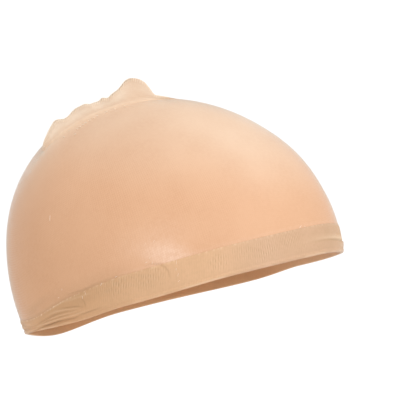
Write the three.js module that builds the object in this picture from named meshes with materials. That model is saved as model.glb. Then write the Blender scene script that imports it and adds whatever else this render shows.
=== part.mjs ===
// A wig cap: a dome of stretched nylon knit, closed on top by a standing seam ridge and ended
// below by a doubled elastic band. It has the form that it takes on a head.
// Millimetres. +Z is up, -Y points to the forehead and +X to the wearer's left. The origin is
// in the middle of the hollow, at the level where the head is widest.

import * as THREE from 'three';

// Driving dimensions of the dome, from the origin to the outside of the knit

const halfBreadth = 75.2;
const frontReach = 95.6;
const backReach = 92.5;
const crownRise = 78;

// Depth below the widest level at which each side would close, were it carried on down
const frontTaper = 169;
const sideTaper = 84;
const backTaper = 108;

// Fullness of the dome's curve above the widest level: 2 is an ellipse, more is squarer
const frontFullness = 1.96;
const sideFullness = 1.85;
const backFullness = 2.24;

// Cloth

const knitWall = 1;
const bandWall = 1.4;
const pieceGap = 0.3;

// Elastic band: levels of its lower edge, and its width where it is widest

const foreheadLevel = 7.7;
const napeLevel = -55.8;
const bandWidth = 15.8;
const bandRounding = 0.45;
const hemHeight = 2.4;
const hemBulge = 0.25;
const earHemBulge = 0.35;

// Lower edge and width round the band, the same on both sides. turn is in degrees from the
// middle of the forehead. fall is a share of the drop from foreheadLevel to napeLevel, and
// width a share of bandWidth.
const bandCourse = [
  { turn: 0, fall: 0, width: 0.937 },
  { turn: 35, fall: 0.087, width: 0.949 },
  { turn: 70, fall: 0.351, width: 1 },
  { turn: 90, fall: 0.543, width: 0.886 },
  { turn: 115, fall: 0.715, width: 0.468 },
  { turn: 145, fall: 0.874, width: 0.551 },
  { turn: 180, fall: 1, width: 0.804 },
];

// Over the wearer's left brow the band dips a little
const browDip = 1.5;
const browDipTurn = 38;
const browDipReach = 38;

// Front tier: from the middle of the forehead round the wearer's left brow, the lower part of
// the band is creased over and stands proud, most of all at the crease
const tierStand = 0.75;
const tierEdge = 0.9;
const tierCourse = [
  { turn: -12, height: 0.43, stand: 0 },
  { turn: 4, height: 0.45, stand: 0.45 },
  { turn: 18, height: 0.4, stand: 0.9 },
  { turn: 45, height: 0.4, stand: 1 },
  { turn: 72, height: 0.34, stand: 0.5 },
  { turn: 92, height: 0.3, stand: 0 },
];

// Folds of the bunched band above and behind each ear. Turns are in degrees from the middle
// of the forehead, on both sides. A fold runs along a bow whose start, middle and end heights
// above the lower edge are shares of bandWidth, and runs out where it leaves the band. depth
// is a share of foldDepth, outward where positive.
const earTurn = 98;
const earReach = 40;
const foldDepth = 0.7;
const foldSpread = 1.2;
const earFolds = [
  { from: 84, to: 134, startHeight: 0.17, midHeight: 0.48, endHeight: -0.55, depth: -1 },
  { from: 82, to: 134, startHeight: 0.31, midHeight: 0.62, endHeight: -0.38, depth: 0.6 },
  { from: 80, to: 126, startHeight: 0.22, midHeight: 1.27, endHeight: -1.47, depth: -0.7 },
  { from: 84, to: 138, startHeight: 0.62, midHeight: 0.84, endHeight: -0.2, depth: 0.5 },
  { from: 88, to: 142, startHeight: 0.8, midHeight: 0.7, endHeight: 0.05, depth: -0.6 },
];

// Seam ridge: the doubled cloth that stands up along the closing seam. Its foot runs over the
// dome from near the top to the wearer's right and rear, between two points seen from above.
const ridgeFront = { x: 2.4, y: -3.2 };
const ridgeRear = { x: -39, y: 52 };
const ridgeHeight = 11;
const ridgeThickness = 1.3;
const ridgeFoot = 3.4;
const ridgeWave = 1.3;
const ridgeWaves = 5.5;
const waveOnset = 1.5;
const seamDiameter = 1.4;

// Height of the ridge along its run. along is a share of the run from front to rear, and
// height a share of ridgeHeight.
const ridgeCourse = [
  { along: 0, height: 0.05 },
  { along: 0.07, height: 0.11 },
  { along: 0.13, height: 0.16 },
  { along: 0.16, height: 0.21 },
  { along: 0.181, height: 0.38 },
  { along: 0.212, height: 0.67 },
  { along: 0.243, height: 0.87 },
  { along: 0.285, height: 0.96 },
  { along: 0.33, height: 0.82 },
  { along: 0.369, height: 0.61 },
  { along: 0.41, height: 0.5 },
  { along: 0.441, height: 0.38 },
  { along: 0.475, height: 0.44 },
  { along: 0.51, height: 0.36 },
  { along: 0.55, height: 0.4 },
  { along: 0.592, height: 0.53 },
  { along: 0.657, height: 0.51 },
  { along: 0.715, height: 0.38 },
  { along: 0.75, height: 0.38 },
  { along: 0.79, height: 0.54 },
  { along: 0.82, height: 0.55 },
  { along: 0.88, height: 0.39 },
  { along: 0.959, height: 0.14 },
  { along: 1, height: 0.1 },
];

// Cross-section of the ridge from its foot to its free edge. rise is a share of its height
// there. flare is the share left of the spread at the foot, and full that of the thickness.
const ridgeSection = [
  { rise: 0, flare: 1, full: 1 },
  { rise: 0.05, flare: 0.42, full: 1 },
  { rise: 0.17, flare: 0.12, full: 1 },
  { rise: 0.4, flare: 0, full: 1 },
  { rise: 0.7, flare: 0, full: 1 },
  { rise: 0.94, flare: 0, full: 1 },
  { rise: 1, flare: 0, full: 0.5 },
];

// Fineness of the meshes

const crownColumns = 96;
const crownRows = 15;
const liningRows = 11;
const bandColumns = 96;
const bandRows = 11;
const hemRows = 4;
const bareFrontColumns = 12;
const bareRearColumns = 3;
const seamSides = 8;
const climbStep = THREE.MathUtils.degToRad(0.5);

const quarterTurn = Math.PI / 2;
const fullTurn = 2 * Math.PI;

// Curves

// A smooth curve through one column of a table, level at both ends
function curveThrough(rows, at, value) {
  const last = rows.length - 1;
  const slopes = rows.map((row, i) => {
    if (i === 0 || i === last) return 0;
    return (rows[i + 1][value] - rows[i - 1][value]) / (rows[i + 1][at] - rows[i - 1][at]);
  });
  return (place) => {
    const x = THREE.MathUtils.clamp(place, rows[0][at], rows[last][at]);
    let i = 0;
    while (i < last - 1 && x > rows[i + 1][at]) i += 1;
    const span = rows[i + 1][at] - rows[i][at];
    const u = (x - rows[i][at]) / span;
    const start = rows[i][value] * (2 * u ** 3 - 3 * u ** 2 + 1);
    const end = rows[i + 1][value] * (3 * u ** 2 - 2 * u ** 3);
    const leave = slopes[i] * span * (u ** 3 - 2 * u ** 2 + u);
    const arrive = slopes[i + 1] * span * (u ** 3 - u ** 2);
    return start + end + leave + arrive;
  };
}

// Degrees from the middle of the forehead, negative towards the wearer's right
function degreesOf(turn) {
  return THREE.MathUtils.radToDeg(Math.atan2(Math.sin(turn), Math.cos(turn)));
}

// A bump of height 1 at 0 that has died away at 1 and beyond
function bump(distance) {
  const d = Math.min(Math.abs(distance), 1);
  return (1 - d * d) ** 2;
}

// Dome surface

function sideBlend(turn, front, side, back) {
  const ahead = Math.max(Math.cos(turn), 0) ** 2;
  const behind = Math.max(-Math.cos(turn), 0) ** 2;
  return ahead * front + behind * back + Math.sin(turn) ** 2 * side;
}

function reachTowards(turn) {
  return Math.cos(turn) > 0 ? frontReach : backReach;
}

// The outside of the knit at an angle down from the top and a turn round from the forehead
function domePoint(down, turn) {
  const power = 2 / sideBlend(turn, frontFullness, sideFullness, backFullness);
  const taper = sideBlend(turn, frontTaper, sideTaper, backTaper);
  const above = down < quarterTurn;
  const spread = above ? Math.sin(down) ** power : Math.sin(down);
  const level = above ? crownRise * Math.cos(down) ** power : taper * Math.cos(down);
  const x = halfBreadth * spread * Math.sin(turn);
  const y = -reachTowards(turn) * spread * Math.cos(turn);
  return new THREE.Vector3(x, y, level);
}

// A chart of the dome: a point's distance from the chart's middle is its angle down from the
// top, and its direction is its turn
function chartOf(down, turn) {
  return new THREE.Vector2(down * Math.sin(turn), down * Math.cos(turn));
}

function chartPoint(chart) {
  return domePoint(chart.length(), Math.atan2(chart.x, chart.y));
}

function chartNormal(chart) {
  const across = new THREE.Vector2(climbStep, 0);
  const along = new THREE.Vector2(0, climbStep);
  const u = chartPoint(chart.clone().add(across)).sub(chartPoint(chart.clone().sub(across)));
  const v = chartPoint(chart.clone().add(along)).sub(chartPoint(chart.clone().sub(along)));
  return v.cross(u).normalize();
}

function offsetPoint(chart, outward) {
  return chartPoint(chart).addScaledVector(chartNormal(chart), outward);
}

// The chart's place under a point of the dome seen from above
function chartUnder(place) {
  const across = place.x / halfBreadth;
  const back = place.y / (place.y < 0 ? frontReach : backReach);
  const turn = Math.atan2(across, -back);
  const fullness = sideBlend(turn, frontFullness, sideFullness, backFullness);
  return chartOf(Math.asin(Math.hypot(across, back) ** (fullness / 2)), turn);
}

// Angle down from the top at which the dome has a given level
function downAtLevel(level, turn) {
  if (level < 0) return Math.acos(level / sideBlend(turn, frontTaper, sideTaper, backTaper));
  const fullness = sideBlend(turn, frontFullness, sideFullness, backFullness);
  return Math.acos((level / crownRise) ** (fullness / 2));
}

// Course of the band

const fallAt = curveThrough(bandCourse, 'turn', 'fall');
const widthAt = curveThrough(bandCourse, 'turn', 'width');

function bandWidthAt(turn) {
  return bandWidth * widthAt(Math.abs(degreesOf(turn)));
}

// The place on the chart that lies a length of cloth above the band's lower edge
function chartAbove(turn, length) {
  const degrees = degreesOf(turn);
  const drop = (foreheadLevel - napeLevel) * fallAt(Math.abs(degrees));
  const dip = browDip * bump((degrees - browDipTurn) / browDipReach);
  let down = downAtLevel(foreheadLevel - drop - dip, turn);
  let left = length;
  let step = domePoint(down, turn).distanceTo(domePoint(down - climbStep, turn));
  while (left > step) {
    left -= step;
    down -= climbStep;
    step = domePoint(down, turn).distanceTo(domePoint(down - climbStep, turn));
  }
  return chartOf(down - climbStep * left / step, turn);
}

// Solids

// Turns rings of points into one closed mesh. Each ring is a list of points round the piece,
// and neighbouring rings are joined. Unless the last ring meets the first again, closeEnd
// gives the triangles that close a ring of so many points.
function skin(rings, closeEnd) {
  const count = rings[0].length;
  const index = [];
  const joins = closeEnd ? rings.length - 1 : rings.length;
  for (let r = 0; r < joins; r += 1) {
    const here = r * count;
    const next = ((r + 1) % rings.length) * count;
    for (let k = 0; k < count; k += 1) {
      const m = (k + 1) % count;
      index.push(here + k, here + m, next + m, here + k, next + m, next + k);
    }
  }
  if (closeEnd) {
    const lastRing = (rings.length - 1) * count;
    for (const [a, b, c] of closeEnd(count)) {
      index.push(a, c, b, lastRing + a, lastRing + b, lastRing + c);
    }
  }
  const points = rings.flat();
  const geometry = new THREE.BufferGeometry().setFromPoints(points);
  geometry.setIndex(faceOutward(points, index));
  geometry.computeVertexNormals();
  return geometry;
}

function faceOutward(points, index) {
  let volume = 0;
  for (let i = 0; i < index.length; i += 3) {
    const [a, b, c] = index.slice(i, i + 3).map((n) => points[n]);
    volume += a.dot(b.clone().cross(c));
  }
  return volume > 0 ? index : index.reverse();
}

// Closes a long narrow ring straight across, pairing each point with the one facing it
function closeAcross(count) {
  const triangles = [];
  for (let k = 0; k < count / 2; k += 1) {
    const near = [k, k + 1];
    const far = [count - k, count - k - 1];
    if (k > 0) triangles.push([near[0], near[1], far[0]]);
    if (k + 1 < count / 2) triangles.push([near[1], far[1], far[0] % count]);
  }
  return triangles;
}

function closeAsFan(count) {
  const triangles = [];
  for (let k = 1; k < count - 1; k += 1) triangles.push([0, k, k + 1]);
  return triangles;
}

// Seam ridge

const ridgeFrontChart = chartUnder(ridgeFront);
const ridgeRearChart = chartUnder(ridgeRear);
const ridgeHeightAt = curveThrough(ridgeCourse, 'along', 'height');
const halfRidge = ridgeThickness / 2;

// The frame of the ridge at a share of its run: its foot, the way it stands, and sideways
function ridgeFrame(along) {
  const chart = ridgeFrontChart.clone().lerp(ridgeRearChart, along);
  const foot = chartPoint(chart);
  const up = chartNormal(chart);
  const run = chartPoint(ridgeRearChart).sub(chartPoint(ridgeFrontChart));
  const side = new THREE.Vector3().crossVectors(up, run).normalize();
  return { chart, foot, up, side };
}

// How far the ridge leans to one side at a share of its run and of its height
function ridgeLean(along, rise) {
  const reach = ridgeWave * Math.sin(Math.PI * along) * rise ** waveOnset;
  return reach * Math.sin(fullTurn * ridgeWaves * along);
}

// Crown

// Each column of the knit leaves the band at its own turn and ends on the ridge. Columns on
// opposite sides of the ridge end at the same place, facing each other.
const rearTurn = Math.atan2(ridgeRearChart.x, ridgeRearChart.y);

// The share of the ridge's run at which a column ends, from the rear at 0 to the front halfway
function columnAlong(k) {
  return (1 + Math.cos(k * fullTurn / crownColumns)) / 2;
}

function crownColumn(k) {
  const along = columnAlong(k);
  const turn = rearTurn + k * fullTurn / crownColumns;
  const start = chartAbove(turn, bandWidthAt(turn) + pieceGap);
  const ridge = ridgeFrame(along);
  const span = chartPoint(start).distanceTo(ridge.foot);
  return { along, start, ridge, span };
}

// The place on the chart that lies a distance short of the ridge on a column
function shortOfRidge(column, distance) {
  return column.ridge.chart.clone().lerp(column.start, distance / column.span);
}

// The ring of points round the ridge at one row of its cross-section
function ridgeRing(columns, row) {
  const spread = halfRidge * row.full + (ridgeFoot - halfRidge) * row.flare;
  return columns.map((column) => {
    const { along, ridge } = column;
    const height = row.rise * ridgeHeight * ridgeHeightAt(along);
    return chartPoint(shortOfRidge(column, spread))
      .addScaledVector(ridge.up, height)
      .addScaledVector(ridge.side, ridgeLean(along, row.rise));
  });
}

function crownGeometry(columns) {
  const rings = [...ridgeSection].reverse().map((row) => ridgeRing(columns, row));
  for (let r = 1; r <= crownRows; r += 1) {
    rings.push(columns.map((column) => {
      const foot = ridgeFoot + (column.span - ridgeFoot) * r / crownRows;
      return chartPoint(shortOfRidge(column, foot));
    }));
  }
  for (let r = liningRows; r >= 0; r -= 1) {
    rings.push(columns.map((column) => {
      const foot = halfRidge + (column.span - halfRidge) * r / liningRows;
      return offsetPoint(shortOfRidge(column, foot), -knitWall);
    }));
  }
  return skin(rings, closeAcross);
}

// Band

const tierHeightAt = curveThrough(tierCourse, 'turn', 'height');
const tierStandAt = curveThrough(tierCourse, 'turn', 'stand');

// How far the creased front tier stands out at a height above the band's lower edge
function tierOut(turn, height) {
  const degrees = degreesOf(turn);
  const crease = bandWidth * tierHeightAt(degrees);
  const below = THREE.MathUtils.smoothstep(crease - height, -tierEdge / 2, tierEdge / 2);
  return tierStand * tierStandAt(degrees) * below * height / crease;
}

function foldsOut(turn, height) {
  const degrees = Math.abs(degreesOf(turn));
  let out = 0;
  for (const fold of earFolds) {
    const share = THREE.MathUtils.clamp((degrees - fold.from) / (fold.to - fold.from), 0, 1);
    const early = fold.startHeight * (1 - share) ** 2;
    const middle = 2 * fold.midHeight * share * (1 - share);
    const line = bandWidth * (early + middle + fold.endHeight * share ** 2);
    out += foldDepth * fold.depth * bump(2 * share - 1) * bump((height - line) / foldSpread);
  }
  return out;
}

// The turned hem stands out a little all round. Above the ears it stands out more, and so
// does the band's upper edge.
function edgesOut(turn, height) {
  const atEar = earHemBulge * bump((Math.abs(degreesOf(turn)) - earTurn) / earReach);
  const belowTop = bandWidthAt(turn) - height;
  const hem = (hemBulge + atEar) * bump((2 * height - hemHeight) / hemHeight);
  return hem + atEar * bump((2 * belowTop - hemHeight) / hemHeight);
}

function bandOut(turn, height) {
  const stand = bandWall - knitWall;
  return stand + tierOut(turn, height) + foldsOut(turn, height) + edgesOut(turn, height);
}

// One section of the band, as heights above its lower edge and distances out from the dome
function bandSection(turn) {
  const width = bandWidthAt(turn);
  const section = [{ height: bandRounding, out: -knitWall }, { height: 0, out: 0 }];
  const hemTop = Math.min(hemHeight, width / 2);
  for (let r = 0; r < hemRows; r += 1) {
    const height = bandRounding + (hemTop - bandRounding) * r / hemRows;
    section.push({ height, out: bandOut(turn, height) });
  }
  for (let r = 0; r <= bandRows; r += 1) {
    const height = hemTop + (width - bandRounding - hemTop) * r / bandRows;
    section.push({ height, out: bandOut(turn, height) });
  }
  section.push({ height: width, out: 0 });
  section.push({ height: width - bandRounding, out: -knitWall });
  section.push({ height: width / 2, out: -knitWall });
  return section;
}

function bandGeometry() {
  const sections = Array.from({ length: bandColumns }, (_, k) => {
    const turn = k * fullTurn / bandColumns;
    return bandSection(turn).map(({ height, out }) => offsetPoint(chartAbove(turn, height), out));
  });
  return skin(sections);
}

// Crown seam

// The bead lies just clear of the ridge's free edge and follows its waves. It leaves the low
// front end bare, and the last few columns at the rear.
function seamGeometry(columns) {
  const radius = seamDiameter / 2;
  const top = ridgeRing(columns, ridgeSection.at(-1));
  const edge = top.map((point, k) => point.clone().lerp(top[(top.length - k) % top.length], 0.5));
  const rings = [];
  for (let k = bareRearColumns; k <= top.length / 2 - bareFrontColumns; k += 1) {
    const run = edge[k + 1].clone().sub(edge[k - 1]);
    const side = new THREE.Vector3().crossVectors(run, columns[k].ridge.up).normalize();
    const up = new THREE.Vector3().crossVectors(side, run).normalize();
    const centre = edge[k].clone().addScaledVector(up, radius + pieceGap);
    rings.push(Array.from({ length: seamSides }, (_, corner) => {
      const angle = corner * fullTurn / seamSides;
      return centre.clone()
        .addScaledVector(side, radius * Math.cos(angle))
        .addScaledVector(up, radius * Math.sin(angle));
    }));
  }
  return skin(rings, closeAsFan);
}

// Assembly

function piece(name, geometry, material) {
  const mesh = new THREE.Mesh(geometry, material);
  mesh.name = name;
  return mesh;
}

const sheerKnit = new THREE.MeshStandardMaterial({ color: 0xebc09c, roughness: 0.75, metalness: 0 });
const elasticKnit = new THREE.MeshStandardMaterial({ color: 0xd9b084, roughness: 0.8, metalness: 0 });
const seamThread = new THREE.MeshStandardMaterial({ color: 0xefd3b0, roughness: 0.7, metalness: 0 });

const columns = Array.from({ length: crownColumns }, (_, k) => crownColumn(k));

const wigCap = new THREE.Group();
wigCap.add(piece('crown', crownGeometry(columns), sheerKnit));
wigCap.add(piece('band', bandGeometry(), elasticKnit));
wigCap.add(piece('crown_seam', seamGeometry(columns), seamThread));

export default wigCap;
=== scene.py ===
import math
import bpy
import numpy as np
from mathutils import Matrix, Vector


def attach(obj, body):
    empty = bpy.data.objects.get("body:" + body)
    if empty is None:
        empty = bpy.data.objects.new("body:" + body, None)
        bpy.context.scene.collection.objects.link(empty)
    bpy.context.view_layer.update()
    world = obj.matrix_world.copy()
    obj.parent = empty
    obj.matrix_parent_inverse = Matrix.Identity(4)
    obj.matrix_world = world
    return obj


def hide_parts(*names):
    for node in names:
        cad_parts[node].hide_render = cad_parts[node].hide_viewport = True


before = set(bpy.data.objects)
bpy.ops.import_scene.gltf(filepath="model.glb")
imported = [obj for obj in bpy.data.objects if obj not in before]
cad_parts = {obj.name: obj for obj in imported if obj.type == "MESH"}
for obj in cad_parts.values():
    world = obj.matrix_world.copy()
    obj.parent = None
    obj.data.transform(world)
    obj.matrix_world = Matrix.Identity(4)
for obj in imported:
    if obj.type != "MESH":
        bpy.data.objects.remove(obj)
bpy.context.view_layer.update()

# A wig cap: a dome of fine stretched knit with a standing seam ridge and a doubled elastic
# band. Lengths are in millimetres until mesh_piece turns them into metres.

MM = 0.001


def table(columns, *rows):
    """A table with named columns, one array for each."""
    return dict(zip(columns.split(), np.array(rows, float).T))


# Dome, from the origin to the outside of the knit

half_breadth = 75.2
front_reach = 95.6
back_reach = 92.5
crown_rise = 78
front_taper = 169
side_taper = 84
back_taper = 108
front_fullness = 1.96
side_fullness = 1.85
back_fullness = 2.24

# Elastic band

forehead_level = 7.7
nape_level = -55.8
band_width = 15.8
band_course = table(
    "turn fall width",
    (0, 0, 0.937),
    (35, 0.087, 0.949),
    (70, 0.351, 1),
    (90, 0.543, 0.886),
    (115, 0.715, 0.468),
    (145, 0.874, 0.551),
    (180, 1, 0.804),
)
brow_dip = 1.5
brow_dip_turn = 38
brow_dip_reach = 38

# Seam ridge

ridge_front = (2.4, -3.2)
ridge_rear = (-39, 52)
ridge_run = 77

QUARTER = math.pi / 2
FULL = 2 * math.pi
CHART_STEP = math.radians(0.25)
CLIMB_STEPS = 100


def curve_through(rows, at, value):
    """A smooth curve through one column of a table, level at both ends."""
    xs, ys = rows[at], rows[value]
    slopes = np.zeros(len(xs))
    slopes[1:-1] = (ys[2:] - ys[:-2]) / (xs[2:] - xs[:-2])

    def curve(place):
        x = np.clip(place, xs[0], xs[-1])
        i = np.clip(np.searchsorted(xs, x, side="right") - 1, 0, len(xs) - 2)
        span = xs[i + 1] - xs[i]
        u = (x - xs[i]) / span
        start = ys[i] * (2 * u**3 - 3 * u**2 + 1)
        end = ys[i + 1] * (3 * u**2 - 2 * u**3)
        leave = slopes[i] * span * (u**3 - 2 * u**2 + u)
        arrive = slopes[i + 1] * span * (u**3 - u**2)
        return start + end + leave + arrive

    return curve


def bump(distance):
    """1 at 0, and 0 at 1 and beyond."""
    d = np.minimum(np.abs(distance), 1)
    return (1 - d * d) ** 2


def smooth(x, low, high):
    """0 up to low, 1 from high on, and an eased rise between them."""
    t = np.clip((x - low) / (high - low), 0, 1)
    return t * t * (3 - 2 * t)


def plateau(x, rise_from, rise_to, fall_from, fall_to):
    return smooth(x, rise_from, rise_to) * (1 - smooth(x, fall_from, fall_to))


def uneven_wave(run, lengths, starts):
    """Two waves along a run, the second one weaker."""
    first = np.sin(run * FULL / lengths[0] + starts[0])
    return first + 0.6 * np.sin(run * FULL / lengths[1] + starts[1])


def degrees_of(turn):
    """A turn in radians as degrees between -180 and 180."""
    return np.degrees(np.arctan2(np.sin(turn), np.cos(turn)))


def degrees_between(degrees, other):
    return (degrees - other + 180) % 360 - 180


# Dome surface. The chart of the dome is flat: a point's distance from the chart's middle is
# its angle down from the top, and its direction is its turn from the forehead.


def side_blend(turn, front, side, back):
    ahead = np.maximum(np.cos(turn), 0) ** 2
    behind = np.maximum(-np.cos(turn), 0) ** 2
    return ahead * front + behind * back + np.sin(turn) ** 2 * side


def dome_point(down, turn):
    down, turn = np.broadcast_arrays(down, turn)
    power = 2 / side_blend(turn, front_fullness, side_fullness, back_fullness)
    taper = side_blend(turn, front_taper, side_taper, back_taper)
    above = down < QUARTER
    sine = np.clip(np.sin(down), 0, None)
    cosine = np.cos(down)
    spread = np.where(above, sine**power, sine)
    level = np.where(above, crown_rise * np.clip(cosine, 0, None) ** power, taper * cosine)
    reach = np.where(np.cos(turn) > 0, front_reach, back_reach)
    x = half_breadth * spread * np.sin(turn)
    y = -reach * spread * np.cos(turn)
    return np.stack([x, y, level], -1)


def chart_of(down, turn):
    return np.stack([down * np.sin(turn), down * np.cos(turn)], -1)


def chart_point(chart):
    across, along = chart[..., 0], chart[..., 1]
    return dome_point(np.hypot(across, along), np.arctan2(across, along))


def unit(v):
    return v / np.linalg.norm(v, axis=-1, keepdims=True)


def chart_normal(chart):
    across = np.array([CHART_STEP, 0])
    along = np.array([0, CHART_STEP])
    u = chart_point(chart + across) - chart_point(chart - across)
    v = chart_point(chart + along) - chart_point(chart - along)
    return unit(np.cross(v, u))


def offset_point(chart, outward):
    return chart_point(chart) + chart_normal(chart) * np.asarray(outward)[..., None]


def chart_under(place):
    """The chart's place under a point of the dome seen from above."""
    across = place[0] / half_breadth
    back = place[1] / (front_reach if place[1] < 0 else back_reach)
    turn = math.atan2(across, -back)
    fullness = float(side_blend(turn, front_fullness, side_fullness, back_fullness))
    return chart_of(math.asin(math.hypot(across, back) ** (fullness / 2)), turn)


def down_at_level(level, turn):
    taper = side_blend(turn, front_taper, side_taper, back_taper)
    fullness = side_blend(turn, front_fullness, side_fullness, back_fullness)
    below = np.arccos(np.clip(level / taper, -1, 1))
    above = np.arccos(np.clip(level / crown_rise, 0, 1) ** (fullness / 2))
    return np.where(level < 0, below, above)


# Course of the band

fall_at = curve_through(band_course, "turn", "fall")
width_at = curve_through(band_course, "turn", "width")


def band_width_at(turn):
    return band_width * width_at(np.abs(degrees_of(turn)))


def chart_above(turn, lengths):
    """The chart's places that lie lengths of cloth above the band's lower edge. turn has one
    number for each column, and lengths a row of numbers for each ring."""
    degrees = degrees_of(turn)
    drop = (forehead_level - nape_level) * fall_at(np.abs(degrees))
    dip = brow_dip * bump((degrees - brow_dip_turn) / brow_dip_reach)
    low = down_at_level(forehead_level - drop - dip, turn)
    climb = low[None, :] - CHART_STEP * np.arange(CLIMB_STEPS)[:, None]
    points = dome_point(climb, turn[None, :])
    steps = np.linalg.norm(np.diff(points, axis=0), axis=-1)
    climbed = np.vstack([np.zeros(len(turn)), np.cumsum(steps, axis=0)])
    downs = np.empty(lengths.shape)
    for k in range(len(turn)):
        downs[:, k] = np.interp(lengths[:, k], climbed[:, k], climb[:, k])
    return chart_of(downs, np.broadcast_to(turn, lengths.shape))


# Creases of the cloth at the sides, where the band bunches above the ears. Each is a line of
# places with turn in degrees from the middle of the forehead, height above the band's lower
# edge, and the crease's depth there, outward where positive. They lie on both sides. A degree
# of turn is about 1.5 mm of cloth there.

MM_PER_DEGREE = 1.5


def crease(half_width, *rows):
    return half_width, table("turn height depth", *rows)


creases = [
    # deep crease above the hem
    crease(
        0.26,
        (132, 0, 0), (123.7, 0.3, -0.2), (116.5, 0.8, -0.45), (108.8, 1.9, -0.65),
        (103.5, 2.3, -0.75), (100.5, 2.7, -0.75), (97, 2.8, -0.65), (93.8, 2.6, -0.6),
        (90.5, 2.6, -0.5), (88.5, 3.2, -0.4), (84, 3.6, -0.45), (81.5, 3.3, -0.35), (77, 3.2, 0),
    ),
    # hem roll below it
    crease(
        0.36,
        (112, 0.6, 0), (106.5, 0.7, 0.2), (102.5, 1.1, 0.35), (97.5, 1.2, 0.4), (94, 1.3, 0.4),
        (91, 0.9, 0.4), (86.5, 0.8, 0.35), (81.5, 0.7, 0.25), (76, 0.7, 0),
    ),
    # rolls and a fine crease between the deep crease and the upper one
    crease(
        0.32,
        (118, 1.8, 0), (110.5, 3, 0.2), (103, 3.7, 0.3), (98.2, 4.1, 0.3), (94.8, 4.2, 0.28),
        (91, 4.1, 0.25), (87.5, 4.4, 0.2), (82, 4.4, 0),
    ),
    crease(
        0.22,
        (112, 3.7, 0), (106, 4.2, -0.22), (100, 4.9, -0.28), (95, 5.1, -0.3), (90, 5.1, -0.2),
        (86, 5.2, 0),
    ),
    crease(
        0.3,
        (108, 5, 0), (102, 5.4, 0.18), (96, 5.8, 0.25), (91, 5.7, 0.2), (87, 5.6, 0),
    ),
    # upper crease
    crease(
        0.34,
        (121, 3.1, 0), (113.8, 3.9, -0.2), (107.5, 5.2, -0.35), (102.2, 6.4, -0.42), (98.5, 7, -0.4),
        (94.5, 7.1, -0.35), (91.5, 6.5, -0.25), (86, 6.3, 0),
    ),
    # upper roll
    crease(
        0.4,
        (106, 7.2, 0), (99.2, 8.3, 0.22), (95, 8.2, 0.22), (90, 7.5, 0.16), (85, 6.8, 0),
    ),
    # fold under the band's upper edge
    crease(
        0.35,
        (96, 12.2, 0), (93, 12.3, 0.14), (90, 12.4, 0.2), (87.4, 12.6, 0.2), (84.6, 12.6, 0.16),
        (82, 12.2, 0),
    ),
    # thin creases in front of them
    crease(
        0.35,
        (98, 9.6, 0), (93.2, 8.9, -0.35), (89, 8.1, -0.35), (87.2, 7.3, -0.25), (85.5, 6.4, 0),
    ),
    crease(
        0.35,
        (86.8, 11.6, 0), (86, 10, -0.25), (85.5, 7.5, -0.3), (85.5, 5.8, 0),
    ),
    # crease in the crown along the band's upper edge
    crease(
        0.4,
        (96, 15.1, 0), (91.5, 15.4, -0.18), (88, 15.4, -0.22), (85.2, 15.3, -0.18), (82.7, 15.7, -0.1),
        (78, 16.4, 0),
    ),
    # creases that run on behind the ear
    crease(
        0.6,
        (114, 3, 0), (121, 3.4, -0.2), (129, 4.4, -0.25), (138, 5.2, -0.2), (148, 5.8, 0),
    ),
    crease(
        0.5,
        (118, 2.4, 0), (127, 2.2, -0.2), (137, 2.4, -0.22), (147, 3.3, 0),
    ),
    crease(
        0.5,
        (116, 4.6, 0), (124, 4.6, 0.15), (133, 3.4, 0.18), (142, 3.8, 0.14), (150, 4.4, 0),
    ),
    # bowed crease down the temple
    crease(
        0.3,
        (65, 17.2, 0), (62.3, 17.2, -0.2), (59.8, 15.8, -0.28), (58, 13.4, -0.28),
        (57.2, 11.3, -0.22), (56.8, 9, -0.12), (56.8, 6.5, 0),
    ),
    # shallow wrinkles in the crown above the bunched band
    crease(
        1.2,
        (112, 8.6, 0), (105, 10.8, 0.12), (98, 13.8, 0.14), (90, 17.5, 0),
    ),
    crease(
        1.3,
        (122, 9.5, 0), (114, 11.5, -0.12), (106, 14.5, -0.12), (98, 18, 0),
    ),
]


def creases_out(turn, height):
    """How far the creases move the cloth outward at a turn and a height above the band's
    lower edge."""
    place = np.abs(degrees_of(turn)) * MM_PER_DEGREE
    out = np.zeros(np.broadcast(place, height).shape)
    for half_width, line in creases:
        xs = line["turn"] * MM_PER_DEGREE
        ys = line["height"]
        nearest = np.full(out.shape, np.inf)
        depth = np.zeros(out.shape)
        for i in range(len(xs) - 1):
            run_x, run_y = xs[i + 1] - xs[i], ys[i + 1] - ys[i]
            share = ((place - xs[i]) * run_x + (height - ys[i]) * run_y) / (run_x**2 + run_y**2)
            share = np.clip(share, 0, 1)
            away = np.hypot(place - xs[i] - run_x * share, height - ys[i] - run_y * share)
            nearer = away < nearest
            nearest = np.where(nearer, away, nearest)
            here = line["depth"][i] + (line["depth"][i + 1] - line["depth"][i]) * share
            depth = np.where(nearer, here, depth)
        out += depth * bump(nearest / (2 * half_width))
    return out


# Meshes


def grid_faces(rows, columns, closed):
    r = np.arange(rows if closed else rows - 1)[:, None]
    k = np.arange(columns)[None, :]
    here = r * columns
    beyond = (r + 1) % rows * columns
    m = (k + 1) % columns
    return np.stack([here + k, here + m, beyond + m, beyond + k], -1).reshape(-1, 4)


def grid_uvs(u, v, closed):
    """Corner coordinates of a grid. u and v have one column more than the grid has."""
    if closed:
        u, v = np.vstack([u, u[:1]]), np.vstack([v, v[:1]])
    corners = [np.stack([g[:-1, :-1], g[:-1, 1:], g[1:, 1:], g[1:, :-1]], -1) for g in (u, v)]
    return np.stack(corners, -1).reshape(-1, 2)


def across_faces(first, count):
    """Faces that close a long narrow ring straight across."""
    half = count // 2
    faces = [(0, 1, count - 1)]
    faces += [(k, k + 1, count - k - 1, count - k) for k in range(1, half - 1)]
    faces.append((half - 1, half, half + 1))
    return [tuple(first + k for k in face) for face in faces]


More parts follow.
